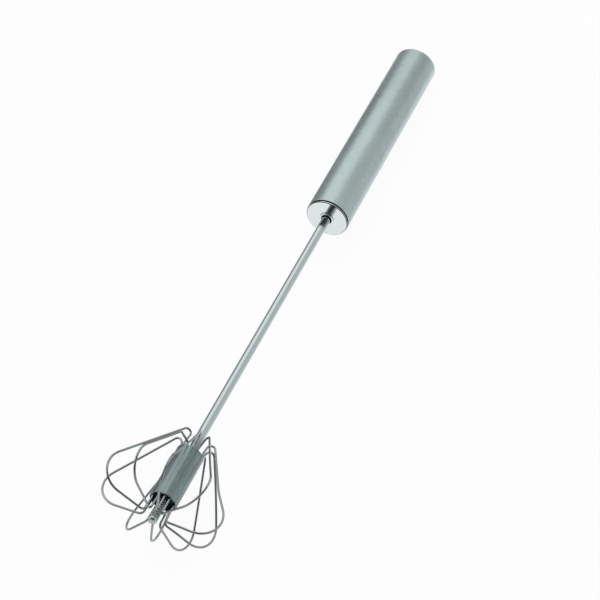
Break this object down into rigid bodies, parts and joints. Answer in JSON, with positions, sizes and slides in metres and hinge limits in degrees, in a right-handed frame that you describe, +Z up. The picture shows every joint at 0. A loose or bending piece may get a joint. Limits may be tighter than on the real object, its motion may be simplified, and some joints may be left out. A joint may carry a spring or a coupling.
{
  "type": "rotary push whisk",
  "caption": "Hand whisk with a steel tube handle; pushing the handle down its thin stem spins a cage of bent wire loops held in a sleeve, and a hidden spring lifts the handle again.",
  "frame": {"origin": "on the table, under the middle of the box round the whisk as it lies at rest", "axes": "+Z up from the table; +Y along the whisk, from the wire head to the palm end of the handle; the axis of the whisk slopes down by 2.8 degrees towards +Y because the head lies on two of its loops and the handle on its rim"},
  "size_m": [0.0644, 0.367, 0.0635],
  "materials": {
    "brushed_shell": "brushed along the handle",
    "polished_steel": "mirror polished",
    "satin_steel": "satin",
    "wire_steel": "bright drawn wire",
    "spring_steel": "plain",
    "nut_brass": "turned",
    "black_plastic": "moulded",
    "white_plastic": "moulded",
    "soft_rubber": "matte"
  },
  "bodies": {
    "handle": {"handle_shell": "brushed_shell", "end_cap": "polished_steel", "stem_bush": "polished_steel", "stop_washer": "soft_rubber", "spindle_anchor": "white_plastic", "anchor_pin": "spring_steel", "drive_strip": "spring_steel", "spring_washer": "spring_steel", "return_spring": "spring_steel"},
    "follower": {"thrust_washer": "white_plastic"},
    "whisk": {"stem_tube": "polished_steel", "drive_nut": "nut_brass", "hub_sleeve": "satin_steel", "hub_core": "black_plastic", "knurled_spigot": "satin_steel", "wire_loop_01": "wire_steel", "wire_loop_02": "wire_steel", "wire_loop_03": "wire_steel", "wire_loop_04": "wire_steel", "wire_loop_05": "wire_steel", "wire_loop_06": "wire_steel", "wire_loop_07": "wire_steel", "wire_loop_08": "wire_steel", "wire_loop_09": "wire_steel", "wire_loop_10": "wire_steel"}
  },
  "joints": [
    {"name": "push_slide", "type": "slide", "parent": "handle", "child": "follower", "axis": [0, 0.9988, -0.0491], "range_m": [0, 0.06], "stiffness_N_per_m": 120, "springref_m": -0.03, "deforming": ["return_spring"]},
    {"name": "whisk_spin", "type": "hinge", "parent": "follower", "child": "whisk", "pos_m": [0.00103, -0.18345, 0.03046], "axis": [0, 0.9988, -0.0491], "range_deg": [0, 864]}
  ],
  "couplings": [
    {"joint": "whisk_spin", "follows": "push_slide", "rad_per_m": 251.33}
  ]
}
